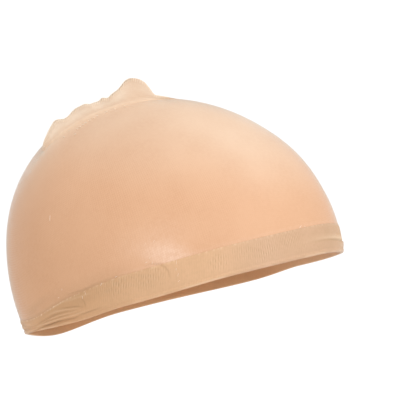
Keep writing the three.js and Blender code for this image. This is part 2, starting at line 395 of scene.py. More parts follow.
def signed_volume(points, faces):
    fans = np.array([(f[0], f[i], f[i + 1]) for f in faces for i in range(1, len(f) - 1)])
    a, b, c = (points[fans[:, i]] for i in range(3))
    return float(np.sum(a * np.cross(b, c)))


def mesh_piece(name, points, faces, material, nodes=(), uvs=None, attributes=None):
    """A smooth closed mesh with its faces turned outward, riding on the part's one body."""
    points = np.asarray(points, float).reshape(-1, 3)
    if signed_volume(points, faces) < 0:
        faces = [tuple(reversed(face)) for face in faces]
        if uvs is not None:
            turned, at = [], 0
            for face in faces:
                turned.append(uvs[at:at + len(face)][::-1])
                at += len(face)
            uvs = np.concatenate(turned)
    mesh = bpy.data.meshes.new(name)
    mesh.from_pydata((points * MM).tolist(), [], [tuple(int(i) for i in face) for face in faces])
    mesh.polygons.foreach_set("use_smooth", [True] * len(mesh.polygons))
    if uvs is not None:
        layer = mesh.uv_layers.new(name="knit")
        layer.data.foreach_set("uv", np.asarray(uvs, np.float32).ravel())
    for key, values in (attributes or {}).items():
        field = mesh.attributes.new(key, "FLOAT", "POINT")
        field.data.foreach_set("value", np.asarray(values, np.float32).ravel())
    mesh.materials.append(material)
    mesh.update()
    piece = bpy.data.objects.new(name, mesh)
    bpy.context.scene.collection.objects.link(piece)
    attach(piece, "root")
    if nodes:
        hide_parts(*nodes)
    return piece


def tube(path, radius, sides):
    """Points and faces of a thread along a path, narrower at its two ends."""
    run = unit(np.gradient(path, axis=0))
    side = unit(np.cross(run, [0.3, 0.5, 0.81]))
    for i in range(1, len(path)):
        carried = side[i - 1] - run[i] * np.dot(side[i - 1], run[i])
        side[i] = carried / np.linalg.norm(carried)
    up = np.cross(run, side)
    angle = np.arange(sides) * FULL / sides
    cosine, sine = np.cos(angle)[:, None], np.sin(angle)[:, None]
    size = np.full(len(path), radius, float)
    size[[0, -1]] *= 0.5
    points = [path[i] + size[i] * (cosine * side[i] + sine * up[i]) for i in range(len(path))]
    faces = [tuple(f) for f in grid_faces(len(path), sides, False)]
    last = (len(path) - 1) * sides
    faces.append(tuple(reversed(range(sides))))
    faces.append(tuple(range(last, last + sides)))
    return np.concatenate(points), faces


def join(threads):
    points, faces, first = [], [], 0
    for thread_points, thread_faces in threads:
        points.append(thread_points)
        faces += [tuple(int(i) + first for i in face) for face in thread_faces]
        first += len(thread_points)
    return np.concatenate(points), faces


# Materials


def node(tree, kind, inputs=None, **settings):
    made = tree.nodes.new(kind)
    for key, value in settings.items():
        setattr(made, key, value)
    for socket, value in (inputs or {}).items():
        if isinstance(value, bpy.types.NodeSocket):
            tree.links.new(value, made.inputs[socket])
        else:
            made.inputs[socket].default_value = value
    return made


def maths(tree, operation, *values, clamp=False):
    made = node(tree, "ShaderNodeMath", dict(enumerate(values)), operation=operation, use_clamp=clamp)
    return made.outputs[0]


def mix_colour(tree, factor, first, second, blend="MIX"):
    made = node(tree, "ShaderNodeMix", data_type="RGBA", blend_type=blend)
    for socket, value in ((0, factor), (6, first), (7, second)):
        if isinstance(value, bpy.types.NodeSocket):
            tree.links.new(value, made.inputs[socket])
        elif socket == 0:
            made.inputs[0].default_value = value
        else:
            made.inputs[socket].default_value = (*value, 1)
    return made.outputs[2]


def noise(tree, vector, scale, detail):
    made = node(
        tree, "ShaderNodeTexNoise",
        {"Vector": vector, "Scale": scale, "Detail": detail, "Roughness": 0.5},
    )
    return made.outputs["Fac"]


def spread(tree, value, low, high, to_low=0.0, to_high=1.0):
    made = node(
        tree, "ShaderNodeMapRange",
        {"Value": value, "From Min": low, "From Max": high, "To Min": to_low, "To Max": to_high},
    )
    return made.outputs["Result"]


def new_material(name):
    material = bpy.data.materials.new(name)
    material.use_nodes = True
    tree = material.node_tree
    shader = tree.nodes["Principled BSDF"]
    return material, tree, shader


def ripple(tree, value, per_turn=1.0):
    """A wave between 0 and 1 that repeats once for each whole number."""
    angle = maths(tree, "MULTIPLY", value, FULL * per_turn)
    return maths(tree, "MULTIPLY_ADD", maths(tree, "SINE", angle), 0.5, 0.5)


def attribute(tree, name):
    return node(tree, "ShaderNodeAttribute", attribute_name=name).outputs["Fac"]


def object_place(tree):
    return node(tree, "ShaderNodeTexCoord").outputs["Object"]


def knit_place(tree):
    """Counts of wales and courses across the knit."""
    uv = node(tree, "ShaderNodeUVMap", uv_map="knit").outputs[0]
    split = node(tree, "ShaderNodeSeparateXYZ", {0: uv})
    return split.outputs[0], split.outputs[1]


def finish_cloth(tree, shader, colour, height, fuzz, relief, roughness, surface):
    """Colour, roughness, relief in millimetres and the settings of a cloth's surface."""
    tree.links.new(colour, shader.inputs["Base Color"])
    tree.links.new(spread(tree, fuzz, 0.3, 0.7, *roughness), shader.inputs["Roughness"])
    raised = node(
        tree, "ShaderNodeBump",
        {"Height": height, "Strength": 1.0, "Distance": relief * MM},
    )
    tree.links.new(raised.outputs["Normal"], shader.inputs["Normal"])
    for socket, value in surface.items():
        shader.inputs[socket].default_value = value


# Colours of the knit and of the seam's thread, and of the light and shade painted on the knit

CREAM = (0.84, 0.66, 0.5)
PEACH = (0.72, 0.428, 0.26)
TAN = (0.62, 0.35, 0.2)
# Darker, warmer tone painted on the crown's lower sides as shade
TANNED = (0.675, 0.385, 0.215)
# Pinkish highlight painted over the temples
HIGHLIGHT_PINK = (0.9, 0.66, 0.52)
# Pale light painted up the ridge's face
RIDGE_LIGHT = (0.9, 0.785, 0.645)
BEIGE = (0.705, 0.44, 0.26)
# Darker, greyer tone painted on the band's front as shade
OATMEAL = (0.63, 0.405, 0.262)
# Darker tone painted on the band's sides as shade
BRONZE = (0.62, 0.345, 0.172)
# The band's mottling, and the shade painted in the creases and grooves of both knits
KHAKI = (0.42, 0.255, 0.13)
# Highlight painted on the band
HIGHLIGHT_PALE = (0.92, 0.7, 0.48)
THREAD = (0.93, 0.79, 0.63)
THREAD_LIGHT = (0.97, 0.88, 0.75)


def sheer_knit_material():
    material, tree, shader = new_material("sheer_knit")
    wale, course = knit_place(tree)
    where = object_place(tree)
    cloud = noise(tree, where, 22, 3)
    fuzz = noise(tree, where, 900, 2)
    grain = noise(tree, where, 620, 1)
    patch = spread(tree, noise(tree, where, 45, 2), 0.35, 0.75)
    loops = maths(tree, "MULTIPLY", ripple(tree, wale), ripple(tree, course))
    # Darker, warmer tone painted on the lower sides as shade
    side_shaded = mix_colour(tree, attribute(tree, "side_shade"), PEACH, TANNED)
    # Cream: the paler knit by the ridge, with light painted on the top and in front
    creamy = mix_colour(tree, attribute(tree, "cream"), side_shaded, CREAM)
    # Light painted up the ridge's face, paler toward its edge
    tone = mix_colour(tree, attribute(tree, "ridge_light"), creamy, RIDGE_LIGHT)
    clouded = mix_colour(tree, spread(tree, cloud, 0.35, 0.75, 0, 0.25), tone, TAN)
    speckled = maths(tree, "MULTIPLY", spread(tree, grain, 0.35, 0.65), 0.7)
    dotted = maths(tree, "MULTIPLY_ADD", loops, 0.8, speckled)
    # Highlight painted over the temples and along the crown above the band, flecked by the knit
    highlight_dots = maths(tree, "MULTIPLY_ADD", dotted, 0.45, 0.45)
    highlight_share = maths(tree, "MULTIPLY", attribute(tree, "painted_highlight"), highlight_dots, clamp=True)
    taper_and_highlight = mix_colour(tree, highlight_share, clouded, HIGHLIGHT_PINK)
    gaps = maths(tree, "SUBTRACT", 1.3, dotted)
    depth = maths(tree, "MULTIPLY", gaps, maths(tree, "MULTIPLY_ADD", patch, 0.07, 0.04))
    knitted = mix_colour(tree, depth, taper_and_highlight, TAN, "MULTIPLY")
    # Shade painted in the creases, by the band's edge beside the ears and at the ridge's foot
    shaded = mix_colour(tree, attribute(tree, "painted_shade"), knitted, KHAKI)
    fluffy = maths(tree, "MULTIPLY_ADD", fuzz, 0.3, loops)
    height = maths(tree, "MULTIPLY_ADD", grain, 0.5, fluffy)
    finish_cloth(tree, shader, shaded, height, fuzz, 0.05, (0.5, 0.68), {
        "Sheen Weight": 0.85,
        "Sheen Roughness": 0.22,
        "Sheen Tint": (0.88, 0.98, 1, 1),
        "Specular IOR Level": 0.25,
    })
    return material


def elastic_knit_material():
    material, tree, shader = new_material("elastic_knit")
    wale, course = knit_place(tree)
    where = object_place(tree)
    cloud = noise(tree, where, 30, 3)
    fuzz = noise(tree, where, 1100, 2)
    grain = noise(tree, where, 620, 1)
    loops = maths(tree, "MULTIPLY", ripple(tree, wale, 2), ripple(tree, course, 2))
    # Darker, greyer tone painted on the band's front as shade, mostly on the side of negative turns
    front_shaded = mix_colour(tree, attribute(tree, "front"), BEIGE, OATMEAL)
    # Darker tone painted on the band's sides as shade
    tone = mix_colour(tree, attribute(tree, "side_shade"), front_shaded, BRONZE)
    clouded = mix_colour(tree, spread(tree, cloud, 0.35, 0.75, 0, 0.3), tone, KHAKI)
    speckled = mix_colour(tree, spread(tree, grain, 0.4, 0.7, 0, 0.1), clouded, KHAKI)
    # Shade painted in the rib grooves, the creases, beside the ears and under the tier's edge
    shaded = mix_colour(tree, attribute(tree, "painted_shade"), speckled, KHAKI)
    # Highlight painted on the rib crests, the crease rolls, the hem, the tier's edge and the stitches
    # of the upper edge
    highlighted = mix_colour(tree, attribute(tree, "painted_highlight"), shaded, HIGHLIGHT_PALE)
    fluffy = maths(tree, "MULTIPLY_ADD", fuzz, 0.4, grain)
    height = maths(tree, "MULTIPLY_ADD", loops, 0.6, fluffy)
    finish_cloth(tree, shader, highlighted, height, fuzz, 0.06, (0.6, 0.8), {
        "Sheen Weight": 0.45,
        "Sheen Roughness": 0.25,
        "Sheen Tint": (0.85, 0.97, 1, 1),
        "Specular IOR Level": 0.2,
    })
    return material


def seam_thread_material():
    material, tree, shader = new_material("seam_thread")
    where = object_place(tree)
    cloud = noise(tree, where, 260, 3)
    fuzz = noise(tree, where, 2500, 2)
    colour = mix_colour(tree, spread(tree, cloud, 0.35, 0.7), THREAD, THREAD_LIGHT)
    finish_cloth(tree, shader, colour, fuzz, fuzz, 0.05, (0.5, 0.7), {
        "Sheen Weight": 0.3,
        "Sheen Tint": (1, 0.95, 0.88, 1),
    })
    return material


sheer_knit = sheer_knit_material()
elastic_knit = elastic_knit_material()
seam_thread = seam_thread_material()

# Crown

crown_columns = 480
cloth_wall = 0.6
crown_margin = 2.2
piece_gap = 0.3
half_ridge = 0.55
crown_swell = 0.25
forehead_swell = 0.5
ridge_foot = 2.8
ridge_wave = 0.6
ridge_waves = 5.5
wave_onset = 1.5
ripple_reach = 0.035
ripple_lengths = (4.3, 2.9)
gather_depth = 0.09
gather_reach = 9
gather_lengths = (4.1, 2.7)
fillet_rise = 0.22
fin_rows = 14
fillet_rows = 7
dome_rows = 104
margin_rows = 4
lining_rows = 40

# Height of the ridge's outline above the dome along its run from front to rear, with the
# thread that binds its edge
ridge_outline = table(
    "along height",
    (0, 0.7), (0.035, 1.1), (0.071, 1.4), (0.1, 1.8), (0.13, 2.3), (0.148, 2.8), (0.159, 3.8),
    (0.17, 5.4), (0.181, 7.1), (0.197, 9.2), (0.212, 10.5), (0.228, 11.6), (0.243, 12.2),
    (0.254, 12.5), (0.27, 12.8), (0.29, 12.8), (0.315, 11.9), (0.342, 10), (0.369, 8.4),
    (0.39, 7.8), (0.41, 7.2), (0.425, 6.5), (0.441, 5.9), (0.452, 6.1), (0.47, 6.6),
    (0.48, 6.6), (0.49, 6.1), (0.501, 5.7), (0.533, 5.9), (0.559, 6.2), (0.57, 6.7),
    (0.58, 7.2), (0.592, 7.5), (0.635, 7.4), (0.657, 7.3), (0.69, 6.6), (0.717, 5.9),
    (0.749, 5.9), (0.76, 6.3), (0.777, 7.1), (0.788, 7.6), (0.801, 7.9), (0.817, 7.8),
    (0.86, 6.5), (0.91, 4.9), (0.959, 3.2), (1, 1.6),
)
outline_at = curve_through(ridge_outline, "along", "height")
front_chart = chart_under(ridge_front)
rear_chart = chart_under(ridge_rear)
rear_turn = math.atan2(rear_chart[0], rear_chart[1])
ridge_direction = chart_point(rear_chart) - chart_point(front_chart)

thread_radius = 0.13
thread_clearance = 0.05


def ridge_charts(along):
    return front_chart + (rear_chart - front_chart) * along[..., None]


def fin_height(along):
    """Height of the cloth's own edge, below the binding thread."""
    return outline_at(along) - 2 * thread_radius - thread_clearance


def ridge_lean(along, rise):
    """How far the ridge leans to the side, at a share of its height."""
    reach = ridge_wave * np.sin(np.pi * along) * rise**wave_onset
    wave = np.sin(FULL * ridge_waves * along)
    ripples = ripple_reach * rise * np.sin(np.pi * along)
    return reach * wave + ripples * uneven_wave(ridge_run * along, ripple_lengths, (0.7, 2.1))


def ridge_frame(along):
    """The ridge's middle line on the dome, and its directions upward and to the side."""
    charts = ridge_charts(along)
    up = chart_normal(charts)
    side = unit(np.cross(up, ridge_direction))
    return chart_point(charts), up, side


# The crown's columns run from the ridge down to the band, half of them on each side

column_step = np.arange(crown_columns) * FULL / crown_columns
column_along = (1 + np.cos(column_step)) / 2
column_turn = rear_turn + column_step
column_width = band_width_at(column_turn)
column_start = chart_above(column_turn, (column_width + piece_gap)[None, :])[0]
column_ridge = ridge_charts(column_along)
column_span = np.linalg.norm(chart_point(column_start) - chart_point(column_ridge), axis=-1)


def short_of_ridge(distance):
    """The places on the columns that lie a distance short of the ridge."""
    share = (distance / column_span)[..., None]
    return column_ridge + (column_start - column_ridge) * share


def ridge_ring(rise, foot_chart):
    """Points of the standing ridge at a share of its height, over their feet on the dome."""
    rise = np.full(crown_columns, rise)
    _, up, side = ridge_frame(column_along)
    height = (rise * fin_height(column_along))[:, None]
    return chart_point(foot_chart) + up * height + side * ridge_lean(column_along, rise)[:, None]


def crown_out(distance):
    """Small waves of the stretched cloth: gathers at the ridge's foot, a slight swell of the
    dome, and the band's creases running out above it."""
    gathers = uneven_wave(ridge_run * column_along, gather_lengths, (0.4, 1.9))
    fading = gather_depth * np.exp(-distance / gather_reach)
    near_ridge = fading * np.sin(np.pi * column_along) * gathers
    above_band = column_span - distance
    running_out = 1 - smooth(above_band, 3, 11)
    place = chart_point(short_of_ridge(distance))
    y, level = place[..., 1], place[..., 2]
    swell = crown_swell * smooth(level, 40, 62) * smooth(y, 30, -10)
    swell += forehead_swell * bump((level - 50) / 17) * smooth(y, -15, -45)
    folded = creases_out(column_turn, column_width + piece_gap + above_band)
    return near_ridge + swell + running_out * folded


def margin_ring(step, inward):
    """A ring of the margin that is tucked into the band, and its distance from the ridge."""
    reach = (crown_margin + piece_gap) * step / margin_rows
    length = column_width + piece_gap - reach
    chart = chart_above(column_turn, length[None, :])[0]
    return offset_point(chart, creases_out(column_turn, length) - inward), column_span + reach


def crown_rings():
    """Rings from the ridge's edge down the outside to the margin and back up the lining, and
    the distance of each from the ridge's foot, negative on the ridge."""
    rings, courses = [], []
    for rise in np.linspace(1, fillet_rise, fin_rows, endpoint=False):
        half_fold = half_ridge * (1 - 0.5 * smooth(rise, 0.9, 1))
        rings.append(ridge_ring(rise, short_of_ridge(np.full(crown_columns, half_fold))))
        courses.append(-rise * fin_height(column_along))
    for angle in np.linspace(QUARTER, 0, fillet_rows, endpoint=False):
        distance = ridge_foot - (ridge_foot - half_ridge) * math.sin(angle)
        rise = fillet_rise * (1 - math.cos(angle))
        base = short_of_ridge(np.full(crown_columns, distance))
        out = (crown_out(distance) * math.cos(angle))[:, None]
        rings.append(ridge_ring(rise, base) + chart_normal(base) * out)
        courses.append(-rise * fin_height(column_along))
    for share in np.linspace(0, 1, dome_rows + 1):
        eased = share + 0.18 * np.sin(np.pi * share) * share - 0.05 * np.sin(FULL * share)
        distance = ridge_foot + (column_span - ridge_foot) * min(eased, 1)
        if share == 1:
            distance = column_span
        rings.append(offset_point(short_of_ridge(distance), crown_out(distance)))
        courses.append(distance)
    outside = [margin_ring(step, 0) for step in range(1, margin_rows + 1)]
    inside = [margin_ring(step, cloth_wall) for step in range(margin_rows, -1, -1)]
    for ring, distance in outside + inside:
        rings.append(ring)
        courses.append(distance)
    for r in range(lining_rows - 1, -1, -1):
        distance = half_ridge + (column_span - half_ridge) * (r / lining_rows) ** 0.9
        rings.append(offset_point(short_of_ridge(distance), crown_out(distance) - cloth_wall))
        courses.append(distance)
    return np.array(rings), np.array(courses)


# Where the crown's colour changes, and where light and shade are painted on it. Turns are in degrees
# from the middle of the forehead, heights in millimetres above the band's lower edge, and levels above
# the origin. Pairs and fours say where a change starts and ends.

cream_by_ridge = 16
# Strength of the light painted as cream on the top and in front, and where it lies
top_light_strength = 0.76
top_levels = (33, 84)
front_light_strength = 0.22
front_turns = (8, 38)
front_levels = (27, 55, 62, 74)
# Where shade is painted on the lower sides of the crown
side_shade_turns = (55, 115)
side_shade_above_band = (4, 60)
ear_turns = (66, 78, 115, 135)
# Shadow painted at the ridge's foot, and its reach
foot_shadow = 0.13
foot_shadow_reach = 5
# Highlights painted over the temples: a strong one and a wider haze above it
highlight_places = table(
    "turn height turn_reach height_reach slant strength",
    (56.5, 19, 9, 11, 0.45, 0.58),
    (60, 28, 17, 13, 0, 0.16),
)


def crown_looks(rings, courses):
    """How cream the knit is at each of the crown's points, and the light and shade painted on it:
    shade in the grooves, beside the ears and at the ridge's foot, shade on the lower sides, painted
    highlights, and light up the ridge.
    """
    levels = rings[..., 2]
    turned = np.abs(degrees_of(column_turn))
    above_band = column_span - courses
    heights = column_width + piece_gap + above_band
    # The cream is the paler knit by the ridge, and light painted on the top and in front
    ridge_cream = np.where(courses < 0, 1, np.exp(-np.abs(courses) / cream_by_ridge))
    cream = np.maximum(ridge_cream, top_light_strength * smooth(levels, *top_levels))
    front_light_share = front_light_strength * (1 - smooth(turned, *front_turns))
    # Light painted up the ridge's face, paler toward its edge and less where the ridge stands tallest
    up_ridge = -courses / fin_height(column_along)
    ridge_light = smooth(up_ridge, -0.05, 0.6) * (1 - 0.8 * bump((column_along - 0.27) / 0.14))
    # Shade painted low on the sides
    side_shade = smooth(turned, *side_shade_turns) * (1 - smooth(above_band, *side_shade_above_band))
    beside_ear = plateau(turned, *ear_turns)
    # Shade painted along the band's upper edge beside the ears, in the crease grooves and at the
    # ridge's foot
    edge_shade = 0.17 * bump(above_band / 8) + 0.16 * bump((above_band - 0.3) / 1)
    groove_shade = np.clip(-creases_out(column_turn, heights), 0, 0.5)
    painted_shade = np.where(courses > 0, groove_shade + edge_shade * beside_ear, 0)
    painted_shade = painted_shade + foot_shadow * bump((courses - 0.6) / foot_shadow_reach)
    # A faint glow painted along the crown just above the band, away from the ears, and the highlights
    # painted over the temples
    painted_highlight = 0.1 * bump((above_band - 0.6) / 1.6) * (1 - beside_ear)
    for turn, height, turn_reach, height_reach, slant, strength in zip(*highlight_places.values()):
        across = (turned - turn - slant * (heights - height)) / turn_reach
        painted_highlight = painted_highlight + strength * bump(across) * bump((heights - height) / height_reach)
    return {
        "cream": np.minimum(cream + front_light_share * plateau(levels, *front_levels), 1),
        "painted_shade": painted_shade,
        "side_shade": side_shade,
        "painted_highlight": np.clip(painted_highlight, 0, 1),
        "ridge_light": ridge_light,
    }


WALES = 480
COURSE_PITCH = 1.1


def crown_mesh():
    rings, courses = crown_rings()
    rows = len(rings)
    faces = [tuple(f) for f in grid_faces(rows, crown_columns, False)]
    caps = across_faces(0, crown_columns) + across_faces((rows - 1) * crown_columns, crown_columns)
    wale_row = np.arange(crown_columns + 1) * WALES / crown_columns
    u = np.broadcast_to(wale_row, (rows, crown_columns + 1))
    v = np.hstack([courses, courses[:, :1]]) / COURSE_PITCH
    corners = np.array([divmod(i, crown_columns) for cap in caps for i in cap])
    cap_uvs = np.stack([u[corners[:, 0], corners[:, 1]], v[corners[:, 0], corners[:, 1]]], -1)
    uvs = np.concatenate([grid_uvs(u, v, False), cap_uvs])
    return rings, faces + caps, uvs, crown_looks(rings, courses)


points, faces, uvs, looks = crown_mesh()
mesh_piece("crown", points, faces, sheer_knit, ("crown",), uvs, looks)

# Band

band_ribs = 450
columns_per_rib = 4
band_columns = band_ribs * columns_per_rib
leaf_out = 0.4
slot_depth = 2.6
slot_outer = 0.06
slot_inner = -0.7
inner_face = -1.0
hem_height = 2.4
hem_bulge = 0.25
tier_stand = 0.75
tier_edge = 0.5
rib_relief = 0.15
rib_strokes = (2.6, 5.5)
plain_ribs = 0.16
hem_rows = 8
leaf_rows = 24

# Stitches along the upper edge: the steps between them and their reach, in radians of turn
mark_step = (0.015, 0.045)
mark_reach = (0.006, 0.017)

# Turns where the band bunches, is painted darker as shade beside the ear, and has a cord at its upper
# edge, each with how far it reaches on both sides, in degrees
bunched_place = (112, 46)
ear_place = (90, 26)
cord_place = (98, 13)

# Height of the lower tier's upper edge as a share of the band's width, and how far it stands
tier_course = table(
    "turn height stand",
    (-14, 0.415, 0),
    (-4, 0.425, 0.25),
    (6, 0.428, 0.6),
    (18, 0.395, 0.95),
    (31, 0.365, 1),
    (48, 0.37, 0.95),
    (72, 0.34, 0.5),
    (92, 0.3, 0),
)
tier_height_at = curve_through(tier_course, "turn", "height")
tier_stand_at = curve_through(tier_course, "turn", "stand")

# Where the ribs stand out: the middle of each patch, its reach and how strongly they show
rib_patches = table(
    "turn height turn_reach height_reach strength",
    (-74, 12, 11, 10, 1),
    (-63.5, 11, 9, 9, 0.9),
    (-41, 8.5, 6, 7, 0.9),
    (-32.5, 10.5, 6.5, 7, 0.8),
    (-24.5, 8, 10, 8, 1),
    (-14, 11, 9, 7, 1),
    (-9, 6, 6, 4.5, 0.7),
    (22, 9, 12, 8, 0.8),
    (44, 10, 9, 8, 0.9),
    (63, 9, 12, 9, 0.9),
    (80, 10, 9, 8, 0.7),
    (-140, 5, 12, 5, 0.8),
    (142, 5, 14, 5, 0.8),
    (172, 7, 14, 7, 0.8),
    (-166, 6, 10, 6, 0.7),
)


def ribbed_at(degrees, heights):
    shown = np.full(heights.shape, plain_ribs)
    for turn, height, turn_reach, height_reach, strength in zip(*rib_patches.values()):
        across = degrees_between(degrees, turn) / turn_reach
        away = np.hypot(across, (heights - height) / height_reach)
        shown = np.maximum(shown, strength * bump(away))
    return shown


def near(degrees, place):
    return bump((np.abs(degrees) - place[0]) / place[1])


def tier_out(degrees, height):
    crease = band_width * tier_height_at(degrees)
    below = smooth(crease - height, -tier_edge / 2, tier_edge / 2)
    pinch = 0.2 * bump((height - crease - 1.1) / 0.9) - 0.25 * bump((height - crease - 0.1) / 0.6)
    return tier_stand_at(degrees) * (tier_stand * below * height / crease + pinch)


def band_rows():
    """The band's section as rows of height, distance out from the dome, and how much of the
    outer leaf's relief each row takes."""
    turn = np.arange(band_columns) * FULL / band_columns
    width = band_width_at(turn)
    full = np.ones(band_columns)
    hem_top = np.minimum(hem_height, width / 2)
    sections = [
        (0.4 * full, inner_face, 0),
        (0.1 * full, inner_face + 0.2, 0),
        (0 * full, -0.35, 0),
        (0.06 * full, 0.05, 0.3),
    ]
    for share in np.linspace(0, 1, hem_rows, endpoint=False):
        sections.append((0.2 + (hem_top - 0.2) * share, leaf_out, 1))
    for share in np.linspace(0, 1, leaf_rows):
        sections.append((hem_top + (width - 0.25 - hem_top) * share, leaf_out, 1))
    sections += [
        (width - 0.06, leaf_out - 0.1, 0.6),
        (width, slot_outer + 0.12, 0.25),
        (width - 0.05, slot_outer, 0),
        (width - slot_depth, slot_outer, 0),
        (width - slot_depth, slot_inner, 0),
        (width - 0.1, slot_inner, 0),
        (width, slot_inner - 0.12, 0),
        (width - 0.12, inner_face, 0),
        (width * 0.6, inner_face, 0),
        (width * 0.3, inner_face, 0),
    ]
    return turn, width, sections


def edge_marks(degrees):
    """How strongly the stitches show along the band's upper edge, at uneven steps."""
    chance = np.random.default_rng(11)
    shown = np.zeros(len(degrees))
    place = -math.pi
    while place < math.pi:
        place += chance.uniform(*mark_step)
        reach = math.degrees(chance.uniform(*mark_reach))
        strength = chance.uniform(0, 1) ** 0.7
        away = degrees_between(degrees, math.degrees(place))
        shown = np.maximum(shown, strength * bump(away / reach))
    return shown


def rib_waves(turn, heights):
    """The upright ribs, which sway a little and are broken into strokes."""
    columns = np.arange(band_columns)
    chance = np.random.default_rng(7)
    rib = columns // columns_per_rib
    offset = chance.uniform(0, FULL, band_ribs)[rib]
    length = chance.uniform(*rib_strokes, band_ribs)[rib]
    strokes = 0.55 + 0.45 * np.sin(heights * FULL / length + offset)
    sway = 0.9 * np.sin(heights / 2.3 + 5 * np.sin(turn * 9)) + 1.1 * np.sin(turn * 23)
    return strokes * np.sin(columns * FULL / columns_per_rib + sway)


def band_mesh():
    turn, width, sections = band_rows()
    degrees = degrees_of(turn)
    heights = np.array([section[0] for section in sections])
    out = np.array([[section[1]] for section in sections]) * np.ones(band_columns)
    outer = np.array([[section[2]] for section in sections]) * np.ones(band_columns)
    below_top = width - heights
    ribs = ribbed_at(degrees, heights) * smooth(heights, 0.3, 1.6) * smooth(below_top, 0.2, 1.2)
    rib_wave = rib_waves(turn, heights)
    hem = hem_bulge * bump((2 * heights - hem_height) / hem_height)
    hem_groove = -0.12 * bump((heights - hem_height) / 0.6)
    folded = creases_out(turn, heights)
    by_ear = near(degrees, ear_place)
    marks = edge_marks(degrees) * (0.35 + 0.65 * near(degrees, bunched_place)) * (1 - 0.55 * by_ear)
    lip = bump((below_top - 0.1) / 1.1) * (marks + 0.2 * near(degrees, cord_place))
    # The outer leaf tapers thinner toward its upper edge
    taper_and_highlight = 0.3 * (1 - smooth(below_top, 0, 1.6))
    relief = rib_relief * ribs * rib_wave + hem + hem_groove + tier_out(degrees, heights)
    out += outer * (relief - taper_and_highlight + 0.16 * lip) + folded
    points = offset_point(chart_above(turn, heights), out)

    from_tier = heights - band_width * tier_height_at(degrees)
    tier_shown = np.clip(tier_stand_at(degrees), 0, 1) ** 1.5
    # Shade painted in the rib grooves, the creases, the band's upper half beside the ear and along the
    # tier's crease
    painted_shade = 0.6 * ribs * np.clip(-rib_wave, 0, 1) + np.clip(-folded * 0.95, 0, 0.8)
    painted_shade += 0.22 * by_ear * smooth(heights / width, 0.35, 0.7)
    painted_shade += 0.9 * tier_shown * bump((from_tier + 0.05) / 0.8)
    # A highlight painted along the hem, broken into lengths
    wander = np.sin(turn * 7 + 1) + 0.7 * np.sin(turn * 17 + 2.2) + 0.5 * np.sin(turn * 41)
    hem_light = 0.3 * bump((heights - 0.7) / 0.8) * smooth(wander, -0.6, 1.3)
    # Highlights painted on the stitches of the upper edge, the crease rolls, the rib crests and above
    # the tier's crease
    painted_highlight = lip + np.clip(folded * 0.8, 0, 0.45) * smooth(heights, 0.6, 2.6)
    painted_highlight += 0.3 * ribs * np.clip(rib_wave, 0, 1) + hem_light * (1 - 0.9 * by_ear)
    painted_highlight += 0.25 * tier_shown * (bump((from_tier - 1) / 0.7) + bump((from_tier - 1.4) / 2.4))
    ahead = np.abs(degrees)
    # A darker, greyer tone painted as shade on the band's front, fading sooner on the side of positive
    # turns
    front = (1 - smooth(ahead, 22, 48)) * (1 - 0.8 * smooth(degrees, 6, 26))
    looks = {
        "painted_shade": np.clip(painted_shade, 0, 0.8) * (outer > 0.2),
        # A darker tone painted as shade on the band's sides
        "side_shade": np.broadcast_to(0.78 * smooth(ahead, 54, 98), heights.shape),
        "front": np.broadcast_to(front, heights.shape),
        "painted_highlight": np.clip(painted_highlight, 0, 0.9) * (outer > 0.2),
    }

    rows = len(points)
    faces = [tuple(f) for f in grid_faces(rows, band_columns, True)]
    rib_row = np.arange(band_columns + 1) / columns_per_rib
    u = np.broadcast_to(rib_row, (rows, band_columns + 1))
    v = np.hstack([heights, heights[:, :1]])
    return points, faces, grid_uvs(u, v, True), looks


points, faces, uvs, looks = band_mesh()
mesh_piece("band", points, faces, elastic_knit, ("band",), uvs, looks)

# Crown seam: the thread wound over the ridge's edge, and the thicker one that runs along it

winding_pitch = 0.95
binding_depth = 1.5
steps_per_winding = 14
edge_steps = 300
edge_radius = 1.5 * thread_radius
seam_from = 0.06
seam_to = 0.985
thread_gap = thread_radius + thread_clearance


def on_ridge(along, below_edge, out):
    """Points a length below the ridge's edge and a distance out from its middle plane."""
    foot, up, side = ridge_frame(along)
    height = fin_height(along) - below_edge
    rise = np.clip(height / fin_height(along), 0, 1)
    return foot + up * height[:, None] + side * (ridge_lean(along, rise) + out)[:, None]


def wound_thread():
    windings = int(ridge_run * (seam_to - seam_from) / winding_pitch)
    t = np.linspace(0, windings, windings * steps_per_winding + 1)
    along = seam_from + (seam_to - seam_from) * t / windings
    across = np.sin(FULL * t)
    out = (half_ridge + thread_gap) * np.sign(across) * np.minimum(1, np.abs(across) * 2.2)
    depth = np.minimum(binding_depth, 0.45 * fin_height(along))
    low = 0.5 - 0.5 * np.cos(FULL * t)
    return on_ridge(along, depth * low - thread_gap * (1 - low), out)


def edge_thread():
    along = np.linspace(seam_from, seam_to, edge_steps)
    return on_ridge(along, np.full(edge_steps, -thread_gap), np.zeros(edge_steps))


def seam_mesh():
    return join([tube(wound_thread(), thread_radius, 6), tube(edge_thread(), edge_radius, 7)])


points, faces = seam_mesh()
mesh_piece("crown_seam", points, faces, seam_thread, ("crown_seam",))

# Small pale stitches and snags that lie on the knit, beside the ridge's foot, over the temples
# and by the band's upper edge. x and y are seen from above. heading is the way that they point
# over the dome, in degrees up from level. length counts in stitch lengths.

